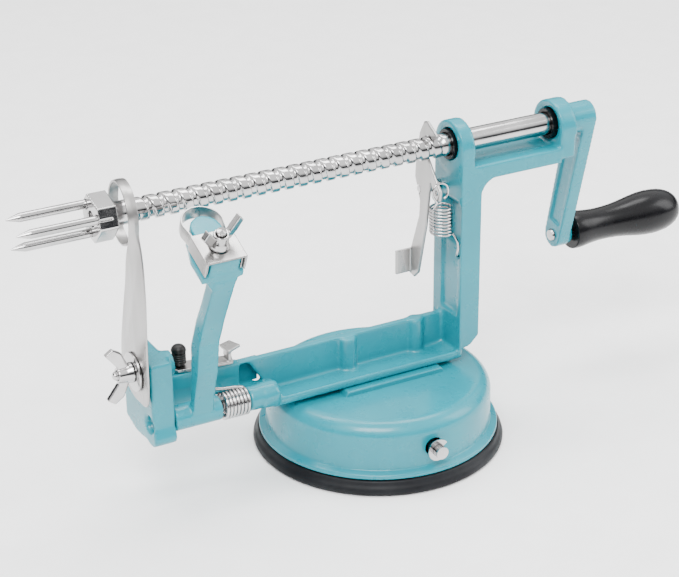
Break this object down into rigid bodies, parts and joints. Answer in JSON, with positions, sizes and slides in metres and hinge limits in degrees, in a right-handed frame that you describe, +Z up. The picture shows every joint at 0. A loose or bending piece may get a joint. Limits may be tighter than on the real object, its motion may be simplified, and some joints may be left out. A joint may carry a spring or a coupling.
{
  "type": "apple peeler corer",
  "caption": "Hand-cranked apple peeler, corer and slicer: a feed screw drives a pronged fork past a paring arm and through a coring ring, on a vacuum base.",
  "frame": {"origin": "middle of the suction cup's flat underside, on the table", "axes": "+X along the feed screw from the apple fork to the crank, +Z up, -Y the side the peeling arm leans to"},
  "size_m": [0.3292, 0.1127, 0.1427],
  "materials": {
    "turquoise_paint": "glossy turquoise enamel over cast metal",
    "bright_steel": "bright polished and plated steel",
    "blade_steel": "ground stainless blade and sheet steel",
    "black_rubber": "black moulded rubber",
    "black_plastic": "black moulded plastic",
    "black_steel": "black oxide steel"
  },
  "bodies": {
    "frame": {"frame_casting": "turquoise_paint", "base_housing": "turquoise_paint", "suction_cup": "black_rubber", "frame_screw_1": "bright_steel", "frame_screw_2": "bright_steel", "arm_pivot_rod": "bright_steel", "arm_torsion_spring": "bright_steel", "knife_stud": "bright_steel", "knife_washer": "bright_steel", "latch_screw": "black_steel", "latch_spring": "black_steel", "lever_pivot_pin": "bright_steel", "release_spring": "bright_steel"},
    "crank_turn": {"front_bush": "black_plastic", "rear_bush": "black_plastic"},
    "feed": {"feed_shaft": "bright_steel", "fork_hub": "bright_steel", "fork_pin_1": "bright_steel", "fork_pin_2": "bright_steel", "fork_pin_3": "bright_steel", "crank_arm": "turquoise_paint", "handle_pin": "bright_steel"},
    "handle": {"crank_handle": "black_plastic"},
    "arm": {"peeling_arm": "turquoise_paint", "paring_stud": "bright_steel"},
    "paring": {"knife_bracket": "blade_steel", "paring_blade": "blade_steel"},
    "paring_nut": {"paring_wing_nut": "bright_steel"},
    "latch": {"arm_latch": "blade_steel"},
    "knife": {"slicing_knife": "blade_steel"},
    "knife_nut": {"knife_wing_nut": "bright_steel"},
    "release": {"release_lever": "blade_steel"},
    "cam": {"cam_shaft": "bright_steel", "shaft_clip": "bright_steel", "suction_lever": "bright_steel", "lever_grip": "black_plastic"},
    "plunger": {"vacuum_plunger": "bright_steel"}
  },
  "joints": [
    {"name": "crank_spin", "type": "hinge", "parent": "frame", "child": "crank_turn", "pos_m": [0, 0, 0.1295], "axis": [1, 0, 0], "range_deg": [0, 7200]},
    {"name": "feed_slide", "type": "slide", "parent": "crank_turn", "child": "feed", "axis": [1, 0, 0], "range_m": [0, 0.1271]},
    {"name": "handle_spin", "type": "hinge", "parent": "feed", "child": "handle", "pos_m": [0.14, 0.01461, 0.0677], "axis": [1, 0, 0], "continuous": true},
    {"name": "arm_swing", "type": "hinge", "parent": "frame", "child": "arm", "pos_m": [-0.09, -0.0088, 0.0386], "axis": [1, 0, 0], "range_deg": [-2, 28]},
    {"name": "paring_adjust", "type": "slide", "parent": "arm", "child": "paring", "axis": [0, 0.9184, 0.3955], "range_m": [-0.0019, 0.0019]},
    {"name": "paring_nut_turn", "type": "hinge", "parent": "arm", "child": "paring_nut", "pos_m": [-0.0908, -0.03705, 0.12446], "axis": [0, -0.3955, 0.9184], "continuous": true},
    {"name": "latch_swing", "type": "hinge", "parent": "frame", "child": "latch", "pos_m": [-0.0904, 0.0075, 0.052], "axis": [0, 0, 1], "range_deg": [0, 25]},
    {"name": "knife_swing", "type": "hinge", "parent": "frame", "child": "knife", "pos_m": [-0.114, -0.0035, 0.0615], "axis": [1, 0, 0], "range_deg": [-1, 1]},
    {"name": "knife_nut_turn", "type": "hinge", "parent": "frame", "child": "knife_nut", "pos_m": [-0.12, -0.0035, 0.0615], "axis": [1, 0, 0], "continuous": true},
    {"name": "release_swing", "type": "hinge", "parent": "frame", "child": "release", "pos_m": [0.025, 0.008, 0.108], "axis": [-1, 0, 0], "range_deg": [0, 12], "deforming": ["release_spring"]},
    {"name": "cam_turn", "type": "hinge", "parent": "frame", "child": "cam", "pos_m": [-0.001, 0, 0.0175], "axis": [0, -1, 0], "range_deg": [0, 90]},
    {"name": "plunger_lift", "type": "slide", "parent": "frame", "child": "plunger", "axis": [0, 0, 1], "range_m": [0, 0.0021]}
  ],
  "couplings": [
    {"joint": "feed_slide", "follows": "crank_spin", "m_per_rad": 0.0010106},
    {"joint": "plunger_lift", "follows": "cam_turn", "m_per_rad": 0.0012732}
  ]
}
